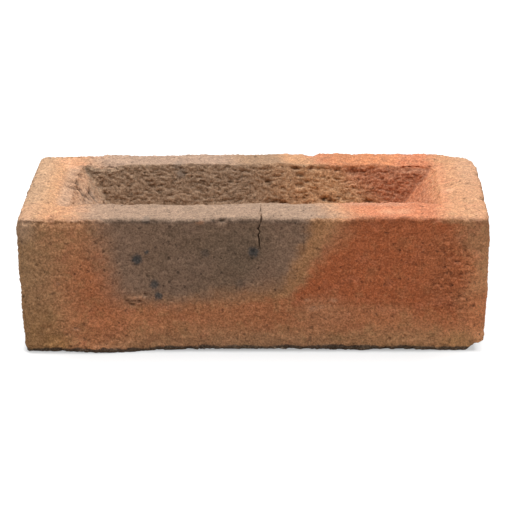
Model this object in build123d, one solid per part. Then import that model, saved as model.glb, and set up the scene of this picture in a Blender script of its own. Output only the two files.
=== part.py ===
from build123d import *
import os

# A frogged facing brick of fired clay, moulded in one piece and lying on its lower bed.
# X runs along the brick's two stretcher faces, Y from the front stretcher to the back one, Z up.
# The origin is the centre of the lower bed. All values are millimetres.

# Size over the upper bed, which is the larger of the two
length = 215.0
width = 102.5
height = 65.0

# Draught of the mould: how far each face leans in on its way down to the lower bed
end_lean = 1.3
side_lean = 1.0

# Frog: a hollow with four sloping walls, pressed into the upper bed a little behind its middle
frog_end_margin = 22.0
frog_front_margin = 22.0
frog_back_margin = 16.0
frog_depth = 20.0
frog_end_slope = 14.5
frog_side_slope = 7.0
frog_corner_radius = 2.0
frog_floor_radius = 1.5
frog_lip_radius = 1.2

# Upright corners: one has slumped and one is rubbed, and the left-hand pair stayed crisper
left_corner_radius = 3.6
front_right_corner_radius = 5.0
back_right_corner_radius = 7.5

# Long edges, called arrises, round the upper and the lower bed
upper_arris_radius = 1.5
lower_arris_radius = 1.4

# Broken corner at the front right of the lower bed, as lengths along the three edges that met there
chip_along_length = 9.5
chip_along_width = 18.0
chip_up = 8.0


def leaning_prism(lower_size, upper_size, lower_z, upper_z):
    """A block with two level faces, each given as its length and width, and four flat leaning ones."""
    leaning_pairs = []
    for plane, lower, upper, reach in (
        (Plane.XZ, lower_size[0], upper_size[0], max(lower_size[1], upper_size[1])),
        (Plane.YZ, lower_size[1], upper_size[1], max(lower_size[0], upper_size[0])),
    ):
        outline = Polyline(
            (-lower / 2, lower_z), (lower / 2, lower_z), (upper / 2, upper_z), (-upper / 2, upper_z), close=True
        )
        leaning_pairs.append(extrude(plane * make_face(outline), reach, both=True))
    return leaning_pairs[0] & leaning_pairs[1]


def upright_edges(solid, z):
    """The sloping or upright edges that cross the level z."""
    return solid.edges().filter_by(lambda edge: edge.bounding_box().min.Z < z < edge.bounding_box().max.Z)


def level_edges(solid, z):
    """The edges that lie flat at the level z."""
    return solid.edges().filter_by_position(Axis.Z, z, z)


def leaning_block():
    """The brick without its frog: four leaning faces, rounded corners and rounded arrises."""
    lower_bed = (length - 2 * end_lean, width - 2 * side_lean)
    block = leaning_prism(lower_bed, (length, width), 0, height)

    corner_radii = {
        (-1, -1): left_corner_radius,
        (-1, 1): left_corner_radius,
        (1, -1): front_right_corner_radius,
        (1, 1): back_right_corner_radius,
    }
    for (x_side, y_side), radius in corner_radii.items():
        at_end = upright_edges(block, height / 2).filter_by(lambda edge: edge.center().X * x_side > 0)
        at_corner = at_end.filter_by(lambda edge: edge.center().Y * y_side > 0)
        block = fillet(at_corner, radius)

    block = fillet(level_edges(block, 0), lower_arris_radius)
    return fillet(level_edges(block, height), upper_arris_radius)


def frog_plug():
    """The clay that the frog leaves out: a raised panel turned upside down, with its edges rounded."""
    opening = (length - 2 * frog_end_margin, width - frog_front_margin - frog_back_margin)
    floor = (opening[0] - 2 * frog_end_slope, opening[1] - 2 * frog_side_slope)
    floor_level = height - frog_depth
    plug = leaning_prism(floor, opening, floor_level, height)
    plug = fillet(upright_edges(plug, height - frog_depth / 2), frog_corner_radius)
    plug = fillet(level_edges(plug, floor_level), frog_floor_radius)
    return Pos(0, (frog_front_margin - frog_back_margin) / 2, 0) * plug


def frog_lip(brick):
    """The edges where the frog's walls meet the upper bed."""
    upper_bed = brick.faces().sort_by(Axis.Z)[-1]
    return upper_bed.inner_wires()[0].edges()


def break_corner(brick):
    """The brick with its chipped corner cut off along one plane."""
    x = length / 2 - end_lean
    y = -width / 2 + side_lean
    on_length = Vector(x - chip_along_length, y, 0)
    on_width = Vector(x, y + chip_along_width, 0)
    on_height = Vector(x, y, chip_up)
    towards_corner = (on_width - on_length).cross(on_height - on_length)
    break_plane = Plane(origin=on_length, z_dir=towards_corner)
    return split(brick, bisect_by=break_plane, keep=Keep.BOTTOM)


brick = leaning_block() - frog_plug()
brick = fillet(frog_lip(brick), frog_lip_radius)
brick = break_corner(brick)

os.makedirs("parts", exist_ok=True)
export_step(brick, "parts/brick.step")
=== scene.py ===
import math
import bmesh
import bpy
from mathutils import Matrix, Vector


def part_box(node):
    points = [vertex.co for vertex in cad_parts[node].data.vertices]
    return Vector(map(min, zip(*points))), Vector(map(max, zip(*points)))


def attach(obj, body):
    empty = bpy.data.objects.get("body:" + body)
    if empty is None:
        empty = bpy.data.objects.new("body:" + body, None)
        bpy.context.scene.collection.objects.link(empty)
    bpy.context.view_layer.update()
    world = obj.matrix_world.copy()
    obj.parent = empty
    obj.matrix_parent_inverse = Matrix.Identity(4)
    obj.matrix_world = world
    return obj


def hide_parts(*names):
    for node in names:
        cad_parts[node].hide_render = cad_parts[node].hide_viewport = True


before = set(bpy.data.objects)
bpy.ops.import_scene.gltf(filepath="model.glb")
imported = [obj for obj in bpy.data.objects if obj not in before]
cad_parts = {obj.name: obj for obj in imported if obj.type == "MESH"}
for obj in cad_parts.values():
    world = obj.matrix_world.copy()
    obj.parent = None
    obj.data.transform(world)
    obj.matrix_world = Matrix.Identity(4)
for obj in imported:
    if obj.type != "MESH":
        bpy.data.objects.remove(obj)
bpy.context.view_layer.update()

# The brick: one lump of wet clay, pressed into a mould that leaves a hollow, the frog, in its upper bed.
# The mould's sides lean a little so that the clay slides out, so every face leans in towards the lower bed.
# Handling rounded its corners, the kiln hardened it, and one lower corner has broken off since.
mm = 0.001
low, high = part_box("brick")
length, width, height = high - low
end_lean = 1.3 * mm
side_lean = 1.0 * mm

frog_end_margin = 22.0 * mm
frog_front_margin = 22.0 * mm
frog_back_margin = 16.0 * mm
frog_depth = 20.0 * mm
frog_end_slope = 14.5 * mm
frog_side_slope = 7.0 * mm
frog_length = length - 2 * frog_end_margin
frog_width = width - frog_front_margin - frog_back_margin
frog_middle = (frog_front_margin - frog_back_margin) / 2
frog_floor = height - frog_depth

left_corner_radius = 3.6 * mm
front_right_corner_radius = 5.0 * mm
back_right_corner_radius = 7.5 * mm
lower_arris_radius = 1.4 * mm
upper_arris_radius = 1.5 * mm
frog_corner_radius = 1.2 * mm
frog_floor_radius = 1.5 * mm
frog_lip_radius = 1.2 * mm

chip_along_length = 9.5 * mm
chip_along_width = 18.0 * mm
chip_up = 8.0 * mm

bpy.ops.object.select_all(action="DESELECT")
bpy.ops.mesh.primitive_cube_add(size=1, location=(0, 0, height / 2), scale=(length, width, height))
brick = bpy.context.object
brick.name = "fired_brick"
bpy.ops.object.transform_apply(location=True, rotation=False, scale=True)
bpy.ops.object.mode_set(mode="EDIT")


def pick(kind, test):
    """Selects the faces or edges of the mesh in edit mode that pass a test."""
    bpy.ops.mesh.select_mode(type=kind)
    bpy.ops.mesh.select_all(action="DESELECT")
    shape = bmesh.from_edit_mesh(brick.data)
    parts = shape.faces if kind == "FACE" else shape.edges
    for part in parts:
        if test(part):
            part.select_set(True)
    bmesh.update_edit_mesh(brick.data)


def shrink(from_size, to_size, middle):
    """Scales what is selected from one length and width to another, about a middle."""
    factors = (to_size[0] / from_size[0], to_size[1] / from_size[1], 1)
    bpy.ops.transform.resize(value=factors, center_override=middle)


def crosses(edge, level):
    """Whether an edge runs from below a level to above it."""
    heights = sorted(vertex.co.z for vertex in edge.verts)
    return heights[0] < level < heights[1]


def sharp_at(edge, level):
    """Whether an edge lies at a level and the faces beside it meet at a clear angle."""
    flat = all(abs(vertex.co.z - level) < 0.1 * mm for vertex in edge.verts)
    return flat and edge.calc_face_angle(0) > math.radians(20)


def in_frog(edge):
    """Whether an edge belongs to the frog."""
    middle = (edge.verts[0].co + edge.verts[1].co) / 2
    half = (frog_length / 2 + 1 * mm, frog_width / 2 + 1 * mm)
    return abs(middle.x) < half[0] and abs(middle.y - frog_middle) < half[1] and middle.z > 1 * mm


def round_off(kind_test, radius, segments):
    """Bevels the edges that pass a test to a radius."""
    pick("EDGE", kind_test)
    bpy.ops.mesh.bevel(offset=radius, segments=segments, profile=0.5, affect="EDGES", clamp_overlap=True)


pick("FACE", lambda face: face.normal.z < -0.5)
shrink((length, width), (length - 2 * end_lean, width - 2 * side_lean), (0, 0, 0))

pick("FACE", lambda face: face.normal.z > 0.5)
bpy.ops.mesh.inset(thickness=frog_back_margin)
inset_size = (length - 2 * frog_back_margin, width - 2 * frog_back_margin)
shrink(inset_size, (frog_length, frog_width), (0, 0, height))
bpy.ops.transform.translate(value=(0, frog_middle, 0))
bpy.ops.mesh.extrude_region_move(TRANSFORM_OT_translate={"value": (0, 0, -frog_depth)})
frog_floor_size = (frog_length - 2 * frog_end_slope, frog_width - 2 * frog_side_slope)
shrink((frog_length, frog_width), frog_floor_size, (0, frog_middle, frog_floor))

corner_radii = {
    (-1, -1): left_corner_radius,
    (-1, 1): left_corner_radius,
    (1, -1): front_right_corner_radius,
    (1, 1): back_right_corner_radius,
}
for (x_side, y_side), radius in corner_radii.items():
    round_off(
        lambda edge: crosses(edge, height / 2)
        and edge.verts[0].co.x * x_side > length / 4
        and edge.verts[0].co.y * y_side > width / 4,
        radius,
        5,
    )
round_off(lambda edge: crosses(edge, height - frog_depth / 2) and in_frog(edge), frog_corner_radius, 3)
round_off(lambda edge: sharp_at(edge, frog_floor) and in_frog(edge), frog_floor_radius, 3)
round_off(lambda edge: sharp_at(edge, height) and in_frog(edge), frog_lip_radius, 3)
round_off(lambda edge: sharp_at(edge, height) and not in_frog(edge), upper_arris_radius, 3)
round_off(lambda edge: sharp_at(edge, 0), lower_arris_radius, 4)

chip_x = length / 2 - end_lean
chip_y = -width / 2 + side_lean
on_length = Vector((chip_x - chip_along_length, chip_y, 0))
on_width = Vector((chip_x, chip_y + chip_along_width, 0))
on_height = Vector((chip_x, chip_y, chip_up))
towards_corner = (on_width - on_length).cross(on_height - on_length).normalized()
bpy.ops.mesh.select_all(action="SELECT")
bpy.ops.mesh.bisect(
    plane_co=on_length, plane_no=towards_corner, threshold=0.01 * mm, use_fill=True, clear_outer=True
)
bpy.ops.mesh.select_all(action="SELECT")
bpy.ops.mesh.normals_make_consistent(inside=False)
bpy.ops.object.mode_set(mode="OBJECT")


def finish_with(kind, **settings):
    """Adds a modifier to the brick and applies it."""
    modifier = brick.modifiers.new(kind.lower(), kind)
    for name, value in settings.items():
        setattr(modifier, name, value)
    bpy.ops.object.modifier_apply(modifier=modifier.name)


mesh_grain = 0.55 * mm
finish_with("REMESH", mode="VOXEL", voxel_size=mesh_grain)

# The relief of the clay, from slow waves in its faces down to sandy lumps a millimetre across.
# The sanded mould leaves the outside even, while the frog's walls are torn into level creases.
# The arrises waver and crumble a little all round. From here on every place and length is in millimetres.


def put(tree, kind, *inputs, out=0, **settings):
    """Adds a node, fills its open inputs in order, except with None, and gives one of its outputs."""
    node = tree.nodes.new(kind)
    for name, value in settings.items():
        setattr(node, name, value)
    for socket, value in zip([socket for socket in node.inputs if socket.enabled], inputs):
        if isinstance(value, bpy.types.NodeSocket):
            tree.links.new(value, socket)
        elif value is not None:
            socket.default_value = value
    return [socket for socket in node.outputs if socket.enabled][out]


def maths(tree, operation, *values):
    """A plain function of numbers."""
    return put(tree, "ShaderNodeMath", *values, operation=operation)


def chain(tree, operation, first, *others):
    """A plain function of two numbers, used on several from left to right."""
    for other in others:
        first = maths(tree, operation, first, other)
    return first


def times(tree, *numbers):
    """The product of several numbers."""
    return chain(tree, "MULTIPLY", *numbers)


def plus(tree, *numbers):
    """The sum of several numbers."""
    return chain(tree, "ADD", *numbers)


def minus(tree, *numbers):
    """The first number less all the others."""
    return chain(tree, "SUBTRACT", *numbers)


def largest(tree, *numbers):
    """The largest of several numbers."""
    return chain(tree, "MAXIMUM", *numbers)


def line(tree, value, slope, start):
    """A number that begins at a start and grows with a value by a slope."""
    return maths(tree, "MULTIPLY_ADD", value, slope, start)


def mixed(tree, mask, below, above):
    """One number over another, as a mask lets it through."""
    return put(tree, "ShaderNodeMix", mask, below, above, data_type="FLOAT")


def vectors(tree, operation, *values):
    """A sum, product or other plain function of vectors."""
    return put(tree, "ShaderNodeVectorMath", *values, operation=operation)


def scaled(tree, vector, factor):
    """A vector times a number."""
    node = vectors(tree, "SCALE", vector).node
    if isinstance(factor, bpy.types.NodeSocket):
        tree.links.new(factor, node.inputs["Scale"])
    else:
        node.inputs["Scale"].default_value = factor
    return node.outputs["Vector"]


def split(tree, vector):
    """The three parts of a vector."""
    node = tree.nodes.new("ShaderNodeSeparateXYZ")
    tree.links.new(vector, node.inputs[0])
    return node.outputs[:]


def fade(tree, value, start, end, low_value=0.0, high_value=1.0):
    """A smooth ramp from one value to another as the input passes from start to end."""
    steps = (value, start, end, low_value, high_value)
    return put(tree, "ShaderNodeMapRange", *steps, interpolation_type="SMOOTHSTEP")


def stretched(tree, place, stretch):
    """A place squeezed along each axis, so that a pattern read from it is drawn out by that much."""
    return vectors(tree, "DIVIDE", place, stretch)


def away_from(tree, place, middle, stretch=None):
    """The distance from a middle, counted short along the axes that a mark is drawn out on."""
    if stretch:
        place = stretched(tree, place, stretch)
        middle = tuple(value / factor for value, factor in zip(middle, stretch))
    return vectors(tree, "DISTANCE", place, middle)


def mottle(tree, place, size, detail=2.0, roughness=0.5, out=0):
    """Cloudy noise with lumps of about a size, in the unit of place."""
    finer_by, distortion = 2.0, 0.0
    settings = (1 / size, detail, roughness, finer_by, distortion)
    return put(tree, "ShaderNodeTexNoise", place, *settings, out=out)


def clouds(tree, place, size, detail, roughness, strength):
    """Cloudy noise that swings about zero, by up to about half its strength each way."""
    return times(tree, minus(tree, mottle(tree, place, size, detail, roughness), 0.5), strength)


def swing(tree, place, size, reach, detail=2.0, roughness=0.5):
    """A vector that wanders about zero, up to about reach each way, over lumps of a size."""
    wander = vectors(tree, "SUBTRACT", mottle(tree, place, size, detail, roughness, out=1), (0.5, 0.5, 0.5))
    return scaled(tree, wander, 2 * reach)


def second_least(tree, a, b, c):
    """The middle one of three numbers."""
    lesser, greater = maths(tree, "MINIMUM", a, b), maths(tree, "MAXIMUM", a, b)
    return maths(tree, "MAXIMUM", lesser, maths(tree, "MINIMUM", greater, c))


relief = bpy.data.node_groups.new("clay relief", "GeometryNodeTree")
relief.interface.new_socket("Geometry", in_out="INPUT", socket_type="NodeSocketGeometry")
relief.interface.new_socket("Geometry", in_out="OUTPUT", socket_type="NodeSocketGeometry")
clay_in = relief.nodes.new("NodeGroupInput").outputs[0]
clay_out = relief.nodes.new("NodeGroupOutput").inputs[0]
place = scaled(relief, put(relief, "GeometryNodeInputPosition"), 1 / mm)
facing = put(relief, "GeometryNodeInputNormal")
x, y, z = split(relief, place)

# how far a place lies from the brick's faces, and from the frog's mouth, where inside counts as more
half_length = length / 2 / mm
half_width = width / 2 / mm
top = height / mm
off_middle = maths(relief, "ABSOLUTE", x)
from_end = minus(relief, half_length, off_middle)
from_side = minus(relief, half_width, maths(relief, "ABSOLUTE", y))
from_edge = maths(relief, "MINIMUM", from_end, from_side)
from_bed = maths(relief, "MINIMUM", z, minus(relief, top, z))
arris = fade(relief, second_least(relief, from_end, from_side, from_bed), 1.0, 4.5, 1.0, 0.0)

frog_from_end = minus(relief, frog_length / 2 / mm, off_middle)
frog_y = maths(relief, "ABSOLUTE", minus(relief, y, frog_middle / mm))
frog_from_side = minus(relief, frog_width / 2 / mm, frog_y)
frog_from_edge = maths(relief, "MINIMUM", frog_from_end, frog_from_side)
inside_frog = times(relief, fade(relief, frog_from_edge, -1.5, 1.0), fade(relief, z, 42.0, 44.0))
across_lip = put(relief, "ShaderNodeCombineXYZ", frog_from_end, 0.0, z)
from_lip = away_from(relief, across_lip, (0.0, 0.0, 65.0))

# the wet clay swelled at both ends, and the frog's right end was pushed out
left_bulge = times(relief, fade(relief, z, 25.0, 55.0, 0.6, 1.2), fade(relief, z, 56.0, 65.0, 1.0, 0.7))
right_bulge = times(relief, fade(relief, z, 15.0, 32.0, 0.8, 1.3), fade(relief, z, 52.0, 66.0, 1.0, 0.1))
end_bulge = times(
    relief,
    mixed(relief, fade(relief, x, -5.0, 5.0), left_bulge, right_bulge),
    fade(relief, z, 0.0, 20.0, 0.5, 1.0),
    maths(relief, "DIVIDE", x, half_length),
)
corner_slump = fade(relief, away_from(relief, place, (108.0, 51.0, 65.0)), 2.0, 24.0, 1.8, 0.0)
frog_push = times(
    relief,
    fade(relief, x, 55.0, 80.0),
    fade(relief, x, 107.0, 88.0),
    fade(relief, z, 45.0, 64.0, 0.4, 2.1),
    fade(relief, z, 40.0, 45.0),
)
end_bulge = plus(relief, minus(relief, end_bulge, times(relief, corner_slump, 0.5)), frog_push)

# the lower left of the front bulges at its foot
foot_push = times(
    relief,
    fade(relief, x, -48.0, -62.0),
    fade(relief, z, 7.0, 0.5),
    fade(relief, y, -40.0, -48.0, 0.0, -1.1),
)

# the upper bed stands proud on the right, while one back corner, the back rim and the frog's end lips sank
from_rise = away_from(relief, place, (58.0, 0.0, 65.0), (1.0, 3.0, 1.0))
bed_rise = times(relief, fade(relief, from_rise, 25.0, 85.0, 1.3, 0.7), fade(relief, z, 30.0, 62.0))
lip_sag = times(
    relief,
    fade(relief, x, 8.0, 30.0),
    fade(relief, x, 86.0, 62.0, 0.0, 1.3),
    fade(relief, frog_from_side, -9.0, -1.0),
    fade(relief, y, 15.0, 27.0),
    fade(relief, z, 46.0, 62.0),
)
end_sag = times(
    relief,
    fade(relief, from_lip, 1.0, 12.0, 1.3, 0.0),
    fade(relief, off_middle, 62.0, 78.0),
    fade(relief, frog_from_side, -7.0, 4.0),
)
bed_rise = minus(relief, bed_rise, corner_slump, lip_sag, end_sag)

swell = put(relief, "ShaderNodeCombineXYZ", end_bulge, foot_push, bed_rise)
waver = vectors(relief, "ADD", swing(relief, place, 34.0, 1.0), swing(relief, place, 9.0, 0.4, 3.0))
slump = vectors(relief, "ADD", waver, swell)

# how coarse the clay's skin is: the left of the front and a wrinkled patch on its right are roughest
left_rough = fade(relief, x, -50.0, -75.0)
from_patch = maths(relief, "ABSOLUTE", minus(relief, z, 37.0))
right_rough = times(
    relief, fade(relief, x, 74.0, 88.0), fade(relief, from_patch, 24.0, 12.0), fade(relief, x, 104.0, 98.0)
)
patchy = fade(relief, mottle(relief, place, 9.0), 0.35, 0.6)
rough_skin = times(relief, largest(relief, left_rough, right_rough), patchy)
skin = times(relief, line(relief, rough_skin, 0.8, 0.95), fade(relief, z, 0.2, 1.5, 0.4, 1.0))
grain = times(relief, clouds(relief, place, 1.3, 2.0, 0.6, 1.4), skin)
wrinkles = clouds(relief, stretched(relief, place, (3.0, 1.0, 1.0)), 1.5, 2.0, 0.6, 1.1)
wrinkles = times(relief, wrinkles, line(relief, right_rough, 0.9, 0.3))
creases = mottle(relief, stretched(relief, place, (4.0, 2.0, 1.0)), 1.05, 2.0, 0.6)
creases = times(relief, fade(relief, creases, 0.36, 0.46, -0.55, 0.0), right_rough)
grain = plus(relief, grain, wrinkles, creases)
lumps = clouds(relief, stretched(relief, place, (1.5, 1.0, 1.0)), 4.0, 3.0, 0.55, 0.8)
lumps = times(relief, lumps, fade(relief, z, 63.0, 64.8, 1.0, 1.6))

# the arrises crumbled, most of all the lower ones, but hardly beside the broken corner
crumbled = times(
    relief,
    fade(relief, mottle(relief, place, 4.0, 3.0, 0.6), 0.46, 0.72, 0.3, -0.9),
    arris,
    fade(relief, z, 20.0, 55.0, 1.0, 0.35),
    fade(relief, y, 30.0, 45.0, 1.0, 0.4),
    fade(relief, away_from(relief, place, (105.0, -50.0, 4.0)), 6.0, 13.0, 0.1, 1.0),
)
worn_corner = times(relief, fade(relief, x, -72.0, -84.0, 0.0, -0.9), arris)

# the frog's lip is worn at both ends, broken at its back left and dented at its back right
worn_lip = times(
    relief,
    fade(relief, from_lip, 0.0, 9.0, -0.4, 0.0),
    fade(relief, frog_from_side, -5.0, 3.0),
    fade(relief, split(relief, facing)[2], 0.36, 0.56),
)
from_break = away_from(relief, place, (-73.04, 35.6, 65.0), (2.2, 1.0, 1.0))
from_dent = away_from(relief, place, (77.0, 35.6, 65.0), (3.5, 1.0, 1.0))
worn_lip = plus(
    relief,
    worn_lip,
    fade(relief, from_break, 1.0, 4.6, -2.0, 0.0),
    fade(relief, from_dent, 1.0, 5.5, -1.3, 0.0),
)

# torn ledges in the frog, drawn out level on its long walls and down the slope on its end walls
bent = vectors(relief, "ADD", place, swing(relief, place, 6.0, 2.0, 3.0))
long_folds = mottle(relief, stretched(relief, bent, (3.8, 2.0, 1.0)), 0.95, 3.0, 0.62)
end_folds = mottle(relief, stretched(relief, bent, (3.0, 1.0, 3.0)), 1.5, 2.0, 0.6)
end_reach = frog_end_slope / frog_depth
frog_down = minus(relief, top, z)
at_end_wall = fade(relief, line(relief, frog_down, -end_reach, frog_from_end), 1.4, 0.2)
folds = mixed(relief, at_end_wall, long_folds, end_folds)
ledges = fade(relief, folds, 0.39, 0.47, -0.42, 0.0)
fold_lumps = times(relief, minus(relief, folds, 0.5), 0.85)
long_tearing = fade(relief, x, -10.0, 30.0, 0.86, 0.78)
end_tearing = fade(relief, x, -5.0, 5.0, 0.85, 0.75)
whole_lip = largest(relief, fade(relief, frog_down, 0.5, 2.5), fade(relief, x, 64.0, 52.0))
tearing = times(
    relief,
    mixed(relief, at_end_wall, long_tearing, end_tearing),
    fade(relief, z, 45.0, 46.5, 0.4, 1.0),
    inside_frog,
    whole_lip,
)
torn = times(relief, plus(relief, fold_lumps, ledges), tearing)

# tears drawn out level, mostly in the frog's walls: the middle of each in millimetres, its reach and its
# depth, which is below zero where a ridge stands up
tears = [
    ((-85.0, 25.2, 64.2), 4.2, 1.3),
    ((-85.4, 13.6, 64.9), 4.8, 1.5),
    ((-84.5, 16.0, 63.7), 3.4, 0.7),
    ((-85.3, 3.8, 64.8), 5.0, 1.6),
    ((-83.4, 8.4, 62.0), 4.0, 1.1),
    ((-82.4, 9.1, 60.7), 3.4, 0.6),
    ((-81.4, 7.1, 59.4), 4.2, 1.6),
    ((-78.9, 16.0, 55.9), 4.0, 1.6),
    ((-79.4, 8.3, 56.6), 3.4, 0.9),
    ((-77.2, 15.1, 53.5), 3.6, 1.3),
    ((-79.5, 19.1, 56.7), 2.6, 1.2),
    ((-73.3, 23.6, 48.2), 2.8, 1.2),
    ((89.5, 0.5, 65.0), 2.8, 0.6),
    ((94.5, 3.5, 65.0), 2.0, 0.4),
    ((100.0, 1.0, 65.0), 3.2, 0.6),
    ((-49.6, -50.7, 29.3), 1.1, 1.0),
    ((-52.6, -50.7, 26.0), 1.3, 0.9),
    ((-55.2, -50.7, 26.1), 1.0, 0.7),
    ((-58.4, -50.7, 26.2), 1.0, 0.9),
    ((-57.4, -50.7, 25.0), 1.0, 0.8),
    ((-55.8, -50.7, 24.3), 1.3, 1.0),
    ((-53.0, -50.7, 23.8), 1.1, 0.8),
    ((-51.0, -50.7, 27.5), 1.3, -1.0),
    ((-53.6, -50.7, 27.3), 1.2, -0.9),
    ((-56.2, -50.7, 27.1), 1.1, -0.7),
    ((-52.6, -50.7, 24.9), 1.1, -0.6),
    ((-24.0, -51.0, 63.6), 1.8, -0.8),
    ((-13.8, -51.2, 63.8), 2.0, 1.0),
    ((-44.5, -51.2, 63.8), 1.8, 0.7),
    ((9.2, 29.2, 47.8), 2.2, 1.0),
    ((13.1, 29.1, 47.2), 2.2, 1.1),
    ((32.8, 29.6, 48.7), 2.2, 1.2),
    ((36.2, 29.2, 47.6), 2.0, 0.9),
    ((24.4, 32.5, 57.1), 1.8, 1.0),
    ((21.0, 33.6, 60.3), 2.2, 1.1),
    ((19.0, 34.6, 63.1), 2.2, 0.9),
    ((26.4, 34.9, 63.5), 1.8, 0.9),
    ((47.0, 34.1, 61.7), 2.4, 0.9),
    ((39.6, 34.4, 62.6), 1.8, 0.8),
    ((5.7, 32.5, 57.1), 2.0, 0.9),
    ((21.5, 31.8, 55.2), 2.4, 0.9),
    ((54.3, 29.1, 47.3), 2.0, 0.8),
    ((1.0, 35.6, 65.0), 2.6, 0.5),
]

# knocks and nicks, as round dents: the middle of each in millimetres, its reach and its depth
knocks = [
    ((26.5, 51.0, 66.0), 4.8, 1.8),
    ((-107.0, -50.5, -0.5), 4.0, 0.8),
    ((101.0, -50.0, 4.6), 3.0, 0.4),
    ((103.6, -50.2, 8.6), 1.3, 0.4),
    ((104.6, -49.0, 6.6), 4.5, -1.2),
    ((63.6, -50.5, 18.2), 0.9, 0.9),
    ((52.1, -50.6, 20.1), 0.8, 0.8),
    ((69.7, -50.4, 8.2), 0.9, 0.9),
    ((62.8, -50.4, 7.2), 0.8, 0.8),
    ((29.5, -50.5, 14.0), 1.3, 0.6),
    ((22.5, -51.0, 27.0), 1.3, 0.7),
    ((-53.9, -32.9, 65.0), 1.6, 0.7),
    ((40.0, -50.5, 0.8), 2.4, 0.7),
    ((46.5, -50.5, 1.2), 2.6, 0.7),
    ((55.5, -50.5, 0.8), 2.8, 1.0),
    ((61.5, -50.5, 1.4), 2.4, 1.2),
    ((68.0, -50.5, 0.8), 2.6, 1.1),
    ((73.5, -50.5, 1.2), 2.2, 1.0),
    ((18.0, -50.5, 0.8), 2.4, 0.8),
    ((-30.0, -50.5, 0.8), 3.0, 0.9),
    ((108.5, -22.0, 65.0), 5.0, 0.8),
    ((108.5, 16.0, 65.0), 5.0, 0.6),
    ((-108.5, 10.0, 65.0), 4.0, 0.5),
]
jagged = vectors(relief, "ADD", place, swing(relief, place, 2.0, 0.6))
knocked = 0.0
for middle, reach, depth in knocks:
    away = away_from(relief, jagged, middle)
    knocked = plus(relief, knocked, fade(relief, away, 0.25 * reach, reach, -depth, 0.0))
level = (2.0, 1.4, 1.0)
for middle, reach, depth in tears:
    away = away_from(relief, jagged, middle, level)
    knocked = plus(relief, knocked, fade(relief, away, 0.1 * reach, 0.7 * reach, -depth, 0.0))

# the skin moves in or out along its own direction, and its finest part is kept for the colours to read,
# which paint shade into its hollows and a highlight onto its ridges
fine = plus(relief, grain, torn, knocked)
worn = plus(relief, crumbled, worn_corner, worn_lip)
offset = scaled(relief, facing, plus(relief, fine, lumps, worn))
shift = scaled(relief, vectors(relief, "ADD", offset, slump), mm)
kept_as = {"data_type": "FLOAT", "domain": "POINT"}
stored = put(relief, "GeometryNodeStoreNamedAttribute", clay_in, None, "hollow", fine, **kept_as)
shaped = put(relief, "GeometryNodeSetPosition", stored, None, None, shift)

# the lower bed bows, so that parts of its arris stand a little off the floor
dip = times(relief, fade(relief, x, 24.0, 42.0), fade(relief, x, 60.0, 50.0, 0.2, 0.9))
bow = fade(relief, x, -76.0, -14.0, 0.0, 2.1)
bow = minus(relief, bow, fade(relief, x, 64.0, 92.0, 0.0, 0.9), dip)
bed_lift = times(
    relief, fade(relief, from_edge, 2.0, 7.0, 1.0, 0.0), bow, fade(relief, z, 0.5, 4.0, 1.0, 0.0)
)
moved = split(relief, put(relief, "GeometryNodeInputPosition"))
lifted = largest(relief, moved[2], times(relief, bed_lift, mm))
on_floor = put(relief, "ShaderNodeCombineXYZ", moved[0], moved[1], lifted)
pressed = put(relief, "GeometryNodeSetPosition", shaped, None, on_floor)
relief.links.new(pressed, clay_out)
finish_with("NODES", node_group=relief)

most_triangles = 190000
triangles = sum(len(face.vertices) - 2 for face in brick.data.polygons)
finish_with("DECIMATE", ratio=min(1.0, most_triangles / triangles))


# The crack: it opened down the middle of the front arris, where the clay dried too fast.
# A thin blade that zigzags as the crack does is cut out of the brick, once down its front and once over
# its upper bed. Sizes and places are in millimetres, as above.
def crack_blade(middle, size, axis, stations):
    """Cuts a thin upright blade out. Each station is a place along an axis, an x and a width."""
    middle = [value * mm for value in middle]
    size = [value * mm for value in size]
    bpy.ops.object.select_all(action="DESELECT")
    bpy.ops.mesh.primitive_cube_add(size=1, location=middle, scale=size)
    bpy.ops.object.transform_apply(location=True, rotation=False, scale=True)
    blade = bpy.context.object
    bpy.ops.object.mode_set(mode="EDIT")
    along = [0, 0, 0]
    along[axis] = 1
    for station, _, _ in stations[1:-1]:
        bpy.ops.mesh.select_all(action="SELECT")
        bpy.ops.mesh.bisect(plane_co=[station * mm * value for value in along], plane_no=along)
    for station, sideways, thickness in stations:
        bpy.ops.mesh.select_mode(type="VERT")
        bpy.ops.mesh.select_all(action="DESELECT")
        shape = bmesh.from_edit_mesh(blade.data)
        for vertex in shape.verts:
            vertex.select_set(abs(vertex.co[axis] - station * mm) < 0.01 * mm)
        bmesh.update_edit_mesh(blade.data)
        bpy.ops.transform.resize(value=(thickness * mm / size[0], 1, 1), center_override=middle)
        bpy.ops.transform.translate(value=(sideways * mm - middle[0], 0, 0))
    bpy.ops.object.mode_set(mode="OBJECT")
    bpy.ops.object.select_all(action="DESELECT")
    bpy.context.view_layer.objects.active = brick
    brick.select_set(True)
    finish_with("BOOLEAN", object=blade, operation="DIFFERENCE", solver="EXACT")
    bpy.ops.object.select_all(action="DESELECT")
    blade.select_set(True)
    bpy.ops.object.delete()
    brick.select_set(True)
    bpy.context.view_layer.objects.active = brick


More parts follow.
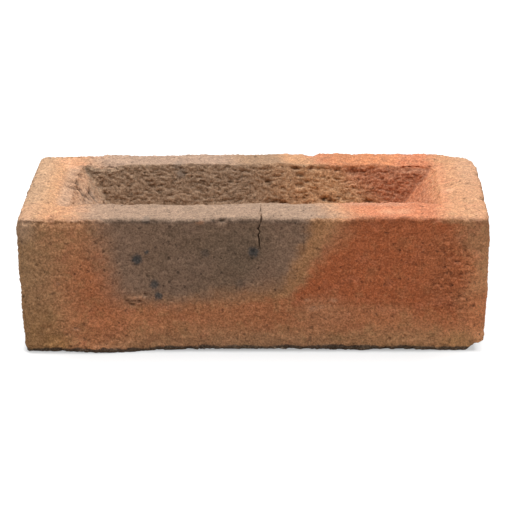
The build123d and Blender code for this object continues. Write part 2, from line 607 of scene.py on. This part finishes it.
front_stations = [
    (50.5, 3.9, 0.1),
    (52.0, 3.4, 0.3),
    (53.1, 3.1, 0.45),
    (54.7, 3.0, 0.65),
    (56.4, 3.0, 0.6),
    (57.6, 2.5, 0.75),
    (59.3, 3.5, 0.6),
    (60.7, 2.4, 0.8),
    (61.7, 3.1, 0.7),
    (63.8, 3.9, 0.65),
    (67.5, 4.2, 0.6),
]
crack_blade((3.0, -50.0, 59.0), (1.0, 8.0, 17.0), 2, front_stations)
bed_stations = [
    (-53.0, 4.3, 0.6),
    (-49.1, 4.1, 0.6),
    (-45.4, 2.8, 0.45),
    (-43.8, 3.2, 0.12),
    (-41.7, 3.7, 0.35),
    (-36.0, 3.5, 0.3),
    (-31.0, 3.5, 0.12),
]
crack_blade((3.0, -42.0, 65.0), (1.0, 22.0, 5.0), 1, bed_stations)
bpy.ops.object.shade_smooth()

# The clay's colours: fired from tan to brick red, with a grey-brown mark where the flame smoked the face.
# Sand from the mould sticks to it as pale and dark grains, iron melted into a few black spots, and a
# painted shadow darkens its foot; painted shade and highlights are added in places. Every place and length
# is in millimetres.
clay = bpy.data.materials.new("fired_clay")
clay.use_nodes = True
tree = clay.node_tree
shader = tree.nodes["Principled BSDF"]
shader.inputs["Specular IOR Level"].default_value = 0.3


def blend(tree, mask, below, above, mode="MIX"):
    """One colour over another, as a mask lets it through."""
    return put(tree, "ShaderNodeMix", mask, below, above, data_type="RGBA", blend_type=mode)


def shade(tree, colour, factor):
    """A colour made lighter or darker by a factor."""
    grey = put(tree, "ShaderNodeCombineColor", factor, factor, factor)
    return blend(tree, 1.0, colour, grey, "MULTIPLY")


def lighten(tree, colour, share):
    """A colour made lighter by a share of itself, or darker where the share is below zero."""
    return shade(tree, colour, plus(tree, 1.0, share))


spot = scaled(tree, tree.nodes.new("ShaderNodeTexCoord").outputs["Object"], 1 / mm)
drift = vectors(tree, "ADD", swing(tree, spot, 24.0, 4.0), swing(tree, spot, 5.0, 4.0, 4.0, 0.65))
x, y, z = split(tree, vectors(tree, "ADD", spot, drift))
true_x, true_y, true_z = split(tree, spot)
true_off_middle = maths(tree, "ABSOLUTE", true_x)

# where the bed and its lips are, and the walls of the frog, with its right end pushed out as in the relief
on_bed = fade(tree, true_z, 62.5, 64.5)
on_back_rim = times(tree, on_bed, fade(tree, true_y, 32.0, 36.0))
on_front_lip = times(tree, on_bed, fade(tree, true_y, -24.0, -34.0), fade(tree, true_y, -51.0, -50.0))
past_end = minus(tree, true_off_middle, fade(tree, true_x, -5.0, 5.0, 86.5, 85.6))
past_end = line(tree, minus(tree, top, true_z), end_reach, past_end)
frog_push = times(tree, fade(tree, true_x, 55.0, 80.0), fade(tree, true_z, 45.0, 64.0, 0.4, 2.1))
past_end = minus(tree, past_end, frog_push)
past_side = maths(tree, "ABSOLUTE", minus(tree, true_y, frog_middle / mm))
past_side = plus(tree, past_side, fade(tree, true_x, 55.0, 70.0, 0.0, -0.4))
in_mouth = times(tree, fade(tree, true_off_middle, 93.5, 87.0), fade(tree, past_side, 33.2, 32.0))
on_end_wall = times(tree, in_mouth, fade(tree, past_end, -0.9, -0.1))
on_far_wall = times(tree, in_mouth, minus(tree, 1.0, on_end_wall))

# the smoke mark, from how far a place lies inside its left, right and lower bounds, and its tan halo
left_bound = plus(tree, x, line(tree, z, 0.3, 78 - 65 * 0.3))
left_bound = line(tree, on_back_rim, 6.5, left_bound)
left_bound = line(tree, on_front_lip, 7.0, left_bound)
right_line = line(tree, plus(tree, y, 51.0), -0.23, 29.0)
right_line = line(tree, minus(tree, z, 65.0), 0.48, right_line)
right_line = line(tree, on_front_lip, 2.5, right_line)
right_line = line(tree, on_back_rim, 6.0, right_line)
right_line = plus(tree, right_line, fade(tree, true_z, 63.0, 56.0, 0.0, 1.8))
right_bound = minus(tree, right_line, x)
lower_bound = minus(tree, z, fade(tree, x, -40.0, 14.0, 22.5, 31.0))
smoke_depth = maths(tree, "SMOOTH_MIN", times(tree, left_bound, 0.45), times(tree, right_bound, 1.1), 5.0)
smoke_depth = maths(tree, "SMOOTH_MIN", smoke_depth, line(tree, lower_bound, 0.7, -0.3), 6.0)
smoke_start = times(tree, on_front_lip, fade(tree, true_x, 0.0, 20.0, 0.0, -19.0))
smoke = fade(tree, smoke_depth, minus(tree, smoke_start, 3.0), 6.0)
halo_reach = fade(tree, true_z, 28.0, 60.0, 3.0, 9.5)
past_smoke = maths(tree, "DIVIDE", times(tree, right_bound, -1.0), halo_reach)
halo = times(
    tree,
    fade(tree, past_smoke, 1.4, 0.5),
    fade(tree, x, -15.0, 12.0),
    fade(tree, lower_bound, -5.0, -1.0),
    line(tree, on_front_lip, -0.7, 1.0),
)

# the red: most of the right half, a band along the foot and a bloom at the lower left
red_end = plus(
    tree,
    fade(tree, z, 61.0, 65.0, 100.0, 92.0),
    fade(tree, z, 46.0, 54.0, 0.0, -5.0),
    fade(tree, z, 38.0, 28.0, 0.0, -4.0),
)
red_foot = minus(tree, z, fade(tree, x, 66.0, 84.0, 13.5, 3.5))
ease = times(tree, fade(tree, true_x, 72.0, 86.0, 0.0, 0.16), fade(tree, true_z, 62.0, 56.0))
red_right = times(
    tree,
    fade(tree, minus(tree, x, red_end), 6.0, -6.0),
    fade(tree, past_smoke, 0.5, 2.6),
    fade(tree, red_foot, 0.0, 17.0),
    minus(tree, 1.0, ease),
)
red_wall = times(tree, fade(tree, x, 0.0, 20.0), fade(tree, true_z, 64.5, 54.0, 0.35, 0.95))
red_right = mixed(tree, on_end_wall, red_right, red_wall)
band_top = fade(tree, x, -15.0, 5.0, 29.0, 35.0)
red_band = times(
    tree,
    fade(tree, minus(tree, z, band_top), 0.0, -10.5),
    fade(tree, x, -92.0, -70.0),
    fade(tree, x, -12.0, 4.0, 0.38, 0.5),
    fade(tree, z, 6.0, 18.0),
)
from_bloom = away_from(tree, spot, (-70.0, -51.0, 28.8), (1.0, 2.0, 1.6))
red = largest(tree, red_right, red_band, fade(tree, from_bloom, 4.0, 24.0, 0.6, 0.0))

# bare clay, from tan to red, rosy and yellow in places, olive towards its left end
tan_clay = (0.565, 0.250, 0.113, 1)
red_clay = (0.550, 0.146, 0.050, 1)
rosy_clay = (0.60, 0.195, 0.095, 1)
yellow_clay = (0.46, 0.27, 0.115, 1)
olive_clay = (0.462, 0.260, 0.126, 1)
light_clay = (0.615, 0.272, 0.130, 1)
halo_clay = (0.520, 0.242, 0.104, 1)
colour = blend(tree, red, tan_clay, red_clay)
rosy = mottle(tree, vectors(tree, "ADD", spot, (40.0, 0.0, 0.0)), 7.0, 3.0, 0.6)
colour = blend(tree, fade(tree, rosy, 0.5, 0.7, 0.0, 0.3), colour, rosy_clay)
yellowed = mottle(tree, vectors(tree, "ADD", spot, (0.0, 0.0, 90.0)), 6.0, 3.0, 0.6)
yellowed = times(tree, fade(tree, yellowed, 0.5, 0.7, 0.0, 0.35), line(tree, red, -0.6, 1.0))
colour = blend(tree, yellowed, colour, yellow_clay)
olive = times(
    tree,
    fade(tree, x, -84.0, -106.0, 0.0, 0.85),
    line(tree, on_front_lip, -0.5, 1.0),
    fade(tree, z, 5.0, 40.0, 0.7, 1.0),
)
colour = blend(tree, olive, colour, olive_clay)
from_light = away_from(tree, spot, (31.95, -51.0, 20.0), (1.5, 3.0, 1.0))
colour = blend(tree, fade(tree, from_light, 2.0, 13.0, 0.5, 0.0), colour, light_clay)
colour = blend(tree, halo, colour, halo_clay)

# smoked clay, darkest at its core and paler towards its edge, on the bed and on the back rim
smoke_clay = (0.248, 0.151, 0.094, 1)
mottled_smoke = (0.296, 0.178, 0.115, 1)
core_smoke = (0.205, 0.133, 0.084, 1)
outer_smoke = (0.338, 0.199, 0.127, 1)
edge_smoke = (0.410, 0.230, 0.140, 1)
bed_smoke = (0.283, 0.180, 0.124, 1)
left_rim_smoke = (0.372, 0.232, 0.162, 1)
right_rim_smoke = (0.285, 0.150, 0.072, 1)
smoke_tone = blend(tree, fade(tree, mottle(tree, spot, 14.0), 0.4, 0.62), smoke_clay, mottled_smoke)
from_core = away_from(tree, spot, (-3.4, -51.0, 49.0), (1.7, 1.0, 1.0))
smoke_tone = blend(tree, fade(tree, from_core, 4.0, 16.0, 0.7, 0.0), smoke_tone, core_smoke)
from_core = maths(tree, "ABSOLUTE", plus(tree, x, 20.0))
smoke_tone = blend(tree, fade(tree, from_core, 16.0, 38.0, 0.0, 0.75), smoke_tone, outer_smoke)
smoke_tone = blend(tree, fade(tree, x, -60.0, -72.0, 0.0, 0.6), smoke_tone, edge_smoke)
smoke_tone = blend(tree, fade(tree, on_bed, 0.0, 1.0, 0.0, 0.6), smoke_tone, bed_smoke)
rim_tone = blend(tree, fade(tree, true_x, -20.0, -4.0), left_rim_smoke, right_rim_smoke)
smoke_tone = blend(tree, times(tree, on_back_rim, 0.8), smoke_tone, rim_tone)
colour = blend(tree, smoke, colour, smoke_tone)

# the frog's walls: brown on the left, tan in the middle, red on the right, and a greyer left end
brown_wall = (0.280, 0.170, 0.102, 1)
tan_wall = (0.490, 0.250, 0.117, 1)
red_brown_wall = (0.408, 0.130, 0.056, 1)
grey_wall = (0.315, 0.205, 0.142, 1)
wall_tone = blend(tree, fade(tree, x, -12.0, 34.0), brown_wall, tan_wall)
redder = line(tree, minus(tree, z, 55.0), 1.2, x)
wall_tone = blend(tree, fade(tree, redder, 36.0, 60.0), wall_tone, red_brown_wall)
low_wall = times(tree, fade(tree, true_z, 56.0, 49.0, 0.0, -0.1), fade(tree, true_x, -4.0, 8.0))
colour = blend(tree, on_far_wall, colour, lighten(tree, wall_tone, low_wall))
end_grey = times(
    tree, on_end_wall, fade(tree, x, 0.0, -20.0, 0.0, 1.0), fade(tree, true_z, 64.0, 54.0, 0.4, 0.85)
)
colour = blend(tree, end_grey, colour, grey_wall)

# the foot of the front, darker in three tones from left to right, and the lower left corner
left_foot = (0.300, 0.165, 0.083, 1)
middle_foot = (0.430, 0.250, 0.138, 1)
right_foot = (0.375, 0.214, 0.096, 1)
low_left_clay = (0.380, 0.196, 0.070, 1)
foot = times(tree, fade(tree, z, 13.0, 1.0), fade(tree, true_x, -76.0, -60.0, 0.0, 0.45))
foot_tone = blend(tree, fade(tree, true_x, -55.0, -25.0), left_foot, middle_foot)
foot_tone = blend(tree, fade(tree, true_x, 20.0, 50.0), foot_tone, right_foot)
colour = blend(tree, foot, colour, foot_tone)
low_left = times(tree, fade(tree, z, 34.0, 8.0), fade(tree, x, -84.0, -96.0, 0.0, 0.55))
colour = blend(tree, low_left, colour, low_left_clay)

# patches, darker or brighter: the middle of each, how it is drawn out, its reach, strength
# and colour. The first two are darker clay, and the last two, at the foot near the front corners, are
# painted highlights
patches = [
    ((6.0, -51.0, 36.0), (1.0, 2.0, 1.6), 9.0, 0.22, (0.250, 0.115, 0.068, 1)),
    ((-27.0, -51.0, 44.2), (1.0, 2.0, 1.3), 9.0, 0.35, (0.200, 0.125, 0.082, 1)),
    ((-91.0, -51.0, 4.0), (1.4, 2.0, 1.0), 6.5, 0.55, (0.66, 0.335, 0.120, 1)),
    ((93.6, -51.0, 5.0), (1.2, 2.0, 1.0), 9.0, 0.55, (0.66, 0.325, 0.130, 1)),
]
for middle, drawn_out, reach, strength, tint in patches:
    away = away_from(tree, spot, middle, drawn_out)
    colour = blend(tree, fade(tree, away, 1.0, reach, strength, 0.0), colour, tint)

# where the clay came out lighter without a change of hue, and a painted highlight along the rounded right
# edge of the front
low_light = times(
    tree,
    fade(tree, z, 26.0, 14.0),
    fade(tree, true_off_middle, 35.0, 60.0, 0.0, 0.16),
    fade(tree, true_x, -98.0, -80.0),
)
right_edge_highlight = times(tree, fade(tree, true_x, 89.5, 104.0, 0.0, 0.36), fade(tree, true_z, 64.0, 32.0))
left_light = times(
    tree,
    fade(tree, true_x, -90.0, -80.0),
    fade(tree, true_x, -60.0, -68.0, 0.0, 0.05),
    fade(tree, true_z, 24.0, 32.0),
)
mouth_light = times(
    tree, on_end_wall, fade(tree, true_x, 0.0, 20.0), fade(tree, true_z, 52.0, 64.0, -0.08, 0.14)
)
lighter = plus(tree, largest(tree, low_light, right_edge_highlight, left_light), mouth_light)
colour = lighten(tree, colour, lighter)

# the upper bed: a grey lip at the left, pale ends, a pale strip along the front lip, an orange back rim
# that is duller in its middle, and a painted highlight on the front left corner
grey_lip_clay = (0.50, 0.315, 0.215, 1)
pale_right_clay = (0.50, 0.30, 0.19, 1)
pale_left_clay = (0.46, 0.30, 0.21, 1)
pale_lip_clay = (0.50, 0.28, 0.19, 1)
corner_highlight_clay = (0.62, 0.41, 0.29, 1)
orange_clay = (0.530, 0.170, 0.045, 1)
grey_lip = times(
    tree,
    fade(tree, true_x, -95.0, -89.0),
    fade(tree, true_x, -80.0, -84.0, 0.0, 0.4),
    on_bed,
    fade(tree, past_side, 34.0, 26.0),
)
colour = blend(tree, grey_lip, colour, grey_lip_clay)
pale_right = times(
    tree, fade(tree, true_y, -15.0, 25.0, 0.15, 0.4), on_bed, fade(tree, true_x, 93.0, 102.0)
)
colour = blend(tree, pale_right, colour, pale_right_clay)
pale_left = times(tree, on_bed, fade(tree, true_x, -94.0, -104.0, 0.0, 0.3))
colour = blend(tree, pale_left, colour, pale_left_clay)
pale_lip = times(
    tree,
    fade(tree, true_x, 36.0, 46.0),
    fade(tree, true_x, 76.0, 66.0, 0.0, 0.4),
    on_front_lip,
    fade(tree, true_y, -37.0, -31.0),
)
colour = blend(tree, pale_lip, colour, pale_lip_clay)
from_corner = away_from(tree, spot, (-107.0, -51.0, 61.0))
corner_highlight = times(tree, fade(tree, from_corner, 2.0, 11.0, 0.38, 0.0), fade(tree, true_z, 65.6, 64.4))
colour = blend(tree, corner_highlight, colour, corner_highlight_clay)
orange_rim = times(
    tree,
    on_bed,
    fade(tree, true_y, 32.0, 38.0),
    fade(tree, x, 30.0, 42.0),
    fade(tree, x, 74.0, 62.0, 0.0, 0.65),
)
colour = blend(tree, orange_rim, colour, orange_clay)
dull_rim = times(tree, fade(tree, true_x, 18.0, 28.0), fade(tree, true_x, 52.0, 44.0), on_back_rim, -0.1)
colour = lighten(tree, colour, dull_rim)
# painted shade along the top of the front arris
arris_painted_shade = times(tree, fade(tree, true_y, -48.0, -51.0), fade(tree, true_z, 62.8, 64.0))
darker_arris = fade(tree, true_x, -10.0, 10.0, -0.24, -0.14)
colour = lighten(tree, colour, times(tree, arris_painted_shade, darker_arris))
streaks = mottle(tree, stretched(tree, spot, (1.8, 1.2, 1.0)), 1.7, 3.0, 0.6)
streaks = fade(tree, streaks, 0.3, 0.7, -0.16, 0.16)
colour = lighten(tree, colour, times(tree, streaks, on_bed))

# painted shadow along the lowest edge, where the brick meets the table
painted_foot_shadow = (0.06, 0.05, 0.04, 1)
above_floor = split(tree, vectors(tree, "ADD", spot, swing(tree, spot, 8.0, 2.2, 4.0, 0.6)))[2]
above_floor = minus(tree, above_floor, fade(tree, true_x, -62.0, -15.0, 1.7, 3.1))
above_floor = plus(tree, above_floor, fade(tree, true_x, 72.0, 86.0, 0.0, 0.8))
colour = blend(tree, fade(tree, above_floor, 0.0, 1.0, 0.88, 0.0), colour, painted_foot_shadow)

# iron spots: the middle of each in millimetres, how far it reaches and how dark it is
iron_spots = [
    ((-53.1, -51.0, 45.9), 3.0, 0.9),
    ((-48.6, -51.0, 49.6), 1.3, 0.85),
    ((-45.3, -51.0, 33.8), 2.7, 0.8),
    ((-43.6, -51.0, 28.2), 2.3, 0.85),
    ((0.4, -51.0, 49.6), 3.0, 0.85),
    ((-22.0, -51.0, 49.0), 2.2, 0.35),
    ((-5.5, -51.0, 34.0), 2.8, 0.3),
    ((-48.5, -51.0, 65.0), 2.2, 0.4),
    ((-37.0, 33.8, 60.9), 2.8, 0.5),
    ((-38.5, 35.3, 65.0), 2.4, 0.35),
]
iron_black = (0.062, 0.062, 0.062, 1)
blotted = vectors(tree, "ADD", spot, swing(tree, spot, 2.0, 1.8, 4.0, 0.7))
iron = 0.0
for middle, reach, depth in iron_spots:
    away = away_from(tree, blotted, middle, (1.0, 3.0, 1.0))
    iron = largest(tree, iron, fade(tree, away, 0.4 * reach, 1.25 * reach, depth, 0.0))
colour = blend(tree, iron, colour, iron_black)

# painted shadow in the frog, under its back left lip
painted_shadow_brown = (0.085, 0.066, 0.047, 1)
from_painted_shadow = away_from(tree, blotted, (-82.05, 34.0, 62.0), (1.5, 1.0, 1.0))
painted_lip_shadow = times(tree, fade(tree, from_painted_shadow, 1.0, 4.5, 0.4, 0.0), fade(tree, true_z, 64.8, 63.2))
colour = blend(tree, painted_lip_shadow, colour, painted_shadow_brown)

# pale marks, where a crust of sand came away: the middle of each in millimetres and how far it reaches
pale_marks = [
    ((-51.5, -51.0, 27.4), 1.1),
    ((-54.6, -51.0, 27.2), 0.9),
    ((-53.2, -51.0, 24.9), 0.8),
    ((27.5, -51.0, 21.8), 1.8),
    ((31.5, -51.0, 22.6), 1.1),
    ((25.0, -51.0, 26.0), 1.0),
    ((37.0, -51.0, 26.0), 1.4),
    ((-24.0, -51.0, 63.8), 1.2),
    ((62.0, -43.0, 65.0), 3.0),
    ((69.0, -42.5, 65.0), 2.8),
    ((-93.0, 41.0, 65.0), 3.2),
    ((-91.0, 34.0, 65.0), 2.6),
    ((92.0, -7.0, 65.5), 2.4),
    ((-105.1, -50.4, 11.7), 0.8),
    ((-89.9, -50.8, 34.0), 0.9),
    ((-82.3, -50.4, 11.7), 1.3),
]
pale_clay = (0.74, 0.36, 0.20, 1)
flaked = vectors(tree, "ADD", spot, swing(tree, spot, 1.8, 0.8, 3.0, 0.6))
pale = 0.0
for middle, reach in pale_marks:
    away = away_from(tree, flaked, middle, (1.8, 1.8, 1.0))
    pale = largest(tree, pale, fade(tree, away, 0.1 * reach, 1.3 * reach, 0.6, 0.0))
colour = blend(tree, pale, colour, pale_clay)

# dust on what faces up, which partly also stands in as painted light for the greyer tone the strong light
# from above gives the top; painted shade in the hollows of the relief and painted highlight on its ridges
dust_and_lit_top_tone = (0.31, 0.235, 0.17, 1)
facing_up = put(tree, "ShaderNodeSeparateXYZ", put(tree, "ShaderNodeNewGeometry", out=1), out=2)
colour = blend(tree, fade(tree, facing_up, -0.1, 0.9, 0.0, 0.28), colour, dust_and_lit_top_tone)
hollow = tree.nodes.new("ShaderNodeAttribute")
hollow.attribute_name = "hollow"
colour = shade(tree, colour, fade(tree, hollow.outputs["Fac"], -2.0, 0.6, 0.3, 1.16))

# sand all over, fine and coarse, duller where the smoke went
sand_clay = (0.50, 0.34, 0.20, 1)
sand = mottle(tree, spot, 0.85, 3.0, 0.65)
coarse = mottle(tree, spot, 2.4, 4.0, 0.7)
sandy = shade(tree, sand_clay, line(tree, smoke, -0.45, 1.0))
colour = blend(tree, fade(tree, sand, 0.5, 0.75, 0.0, 0.25), colour, sandy)
colour = shade(tree, colour, fade(tree, sand, 0.25, 0.75, 0.62, 1.34))
colour = shade(tree, colour, fade(tree, coarse, 0.25, 0.75, 0.80, 1.20))


def specks(place, apart, edge, channel, chosen):
    """Round grains scattered some way apart, soft at the edge, of which only the chosen ones show."""
    cells = tree.nodes.new("ShaderNodeTexVoronoi")
    cells.inputs["Scale"].default_value = 1 / apart
    tree.links.new(place, cells.inputs["Vector"])
    shown = fade(tree, split(tree, cells.outputs["Color"])[channel], *chosen)
    return times(tree, fade(tree, cells.outputs["Distance"], *edge, 1.0, 0.0), shown)


pale_grain_clay = (0.62, 0.42, 0.29, 1)
pit = specks(blotted, 3.4, (0.10, 0.24), 0, (0.55, 0.75))
colour = shade(tree, colour, fade(tree, pit, 0.0, 1.0, 1.0, 0.62))
pale_grain = specks(vectors(tree, "ADD", blotted, (31.0, 7.0, 13.0)), 5.0, (0.06, 0.14), 1, (0.7, 0.8))
colour = blend(tree, times(tree, pale_grain, 0.4), colour, pale_grain_clay)

bump_height = 0.35 * mm
skin_height = minus(tree, plus(tree, sand, coarse), pit)
bump = put(tree, "ShaderNodeBump", 1.0, bump_height, None, skin_height)
tree.links.new(colour, shader.inputs["Base Color"])
tree.links.new(fade(tree, sand, 0.2, 0.8, 0.95, 0.82), shader.inputs["Roughness"])
tree.links.new(bump, shader.inputs["Normal"])

brick.data.materials.clear()
brick.data.materials.append(clay)
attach(brick, "root")
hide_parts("brick")

# The studio: a white table that runs out of view, under one broad soft lamp and an even sky.
# To the camera the table has a faint glow of its own, so that it looks as white as the background, and
# the glow is held back beside the brick, which paints a darker shadow around its foot.
bpy.ops.object.select_all(action="DESELECT")
bpy.ops.mesh.primitive_plane_add(size=8)
floor = bpy.context.object
floor.name = "studio_floor"
white = bpy.data.materials.new("white table")
white.use_nodes = True
tree = white.node_tree
shader = tree.nodes["Principled BSDF"]
shader.inputs["Roughness"].default_value = 0.9
shader.inputs["Specular IOR Level"].default_value = 0.1


def seen_directly(tree):
    """One where a place is looked at, straight, by a reflection or through glass, and zero elsewhere."""
    path = tree.nodes.new("ShaderNodeLightPath")
    kinds = ("Is Camera Ray", "Is Glossy Ray", "Is Transmission Ray")
    return largest(tree, *[path.outputs[kind] for kind in kinds])


seen = seen_directly(tree)
lit_grey = (0.37, 0.37, 0.37, 1)
seen_grey = (0.27, 0.27, 0.27, 1)
tree.links.new(blend(tree, seen, lit_grey, seen_grey), shader.inputs["Base Color"])
shader.inputs["Emission Color"].default_value = (1, 1, 1, 1)
table_place = tree.nodes.new("ShaderNodeTexCoord").outputs["Object"]
table_off_middle = vectors(tree, "ABSOLUTE", table_place)


def past_box(half_sizes):
    """How far a spot of the table lies outside a box about the brick's middle."""
    outside = vectors(tree, "SUBTRACT", table_off_middle, half_sizes)
    outside = vectors(tree, "MAXIMUM", outside, (0.0, 0.0, 0.0))
    return vectors(tree, "LENGTH", outside).node.outputs["Value"]


from_foot = past_box((length / 2 - 6.0 * mm, width / 2 - 5.0 * mm, 0.0))
table_x = split(tree, table_place)[0]
from_foot = minus(tree, from_foot, fade(tree, table_x, -50.0 * mm, -72.0 * mm, 0.0, 4.2 * mm))
from_middle = past_box((60.0 * mm, width / 2, 0.0))
table_glow_and_painted_shadow = fade(tree, from_foot, 0.3 * mm, 3.4 * mm, 0.40, 0.69)
table_glow_and_painted_shadow = plus(tree, table_glow_and_painted_shadow, fade(tree, from_middle, 14.0 * mm, 56.0 * mm, 0.0, 0.17))
tree.links.new(times(tree, seen, table_glow_and_painted_shadow), shader.inputs["Emission Strength"])
floor.data.materials.append(white)

world = bpy.data.worlds.new("studio")
bpy.context.scene.world = world
world.use_nodes = True
tree = world.node_tree
background = tree.nodes["Background"]
background.inputs["Color"].default_value = (1, 1, 1, 1)
sky_light = 0.25
tree.links.new(fade(tree, seen_directly(tree), 0.0, 1.0, sky_light, 1.0), background.inputs["Strength"])

bpy.ops.object.light_add(type="AREA", location=(0, 0, 1.3))
lamp = bpy.context.object
lamp.data.shape = "SQUARE"
lamp.data.size = 0.9
lamp.data.energy = 26

# the camera stands a metre off and looks down at the front, with a long lens, as in the photograph
camera_place = Vector((24.67, -1024.45, 386.98)) * mm
heading = math.radians(1.389)
tilt = math.radians(90 - 19.184)
roll = math.radians(-0.501)
bpy.ops.object.camera_add(location=camera_place)
camera = bpy.context.object
turned = Matrix.Rotation(heading, 4, "Z") @ Matrix.Rotation(tilt, 4, "X") @ Matrix.Rotation(roll, 4, "Z")
camera.rotation_euler = turned.to_euler()
camera.data.sensor_width = 36
camera.data.lens = 159.0
bpy.context.scene.camera = camera
bpy.context.scene.view_settings.view_transform = "Standard"
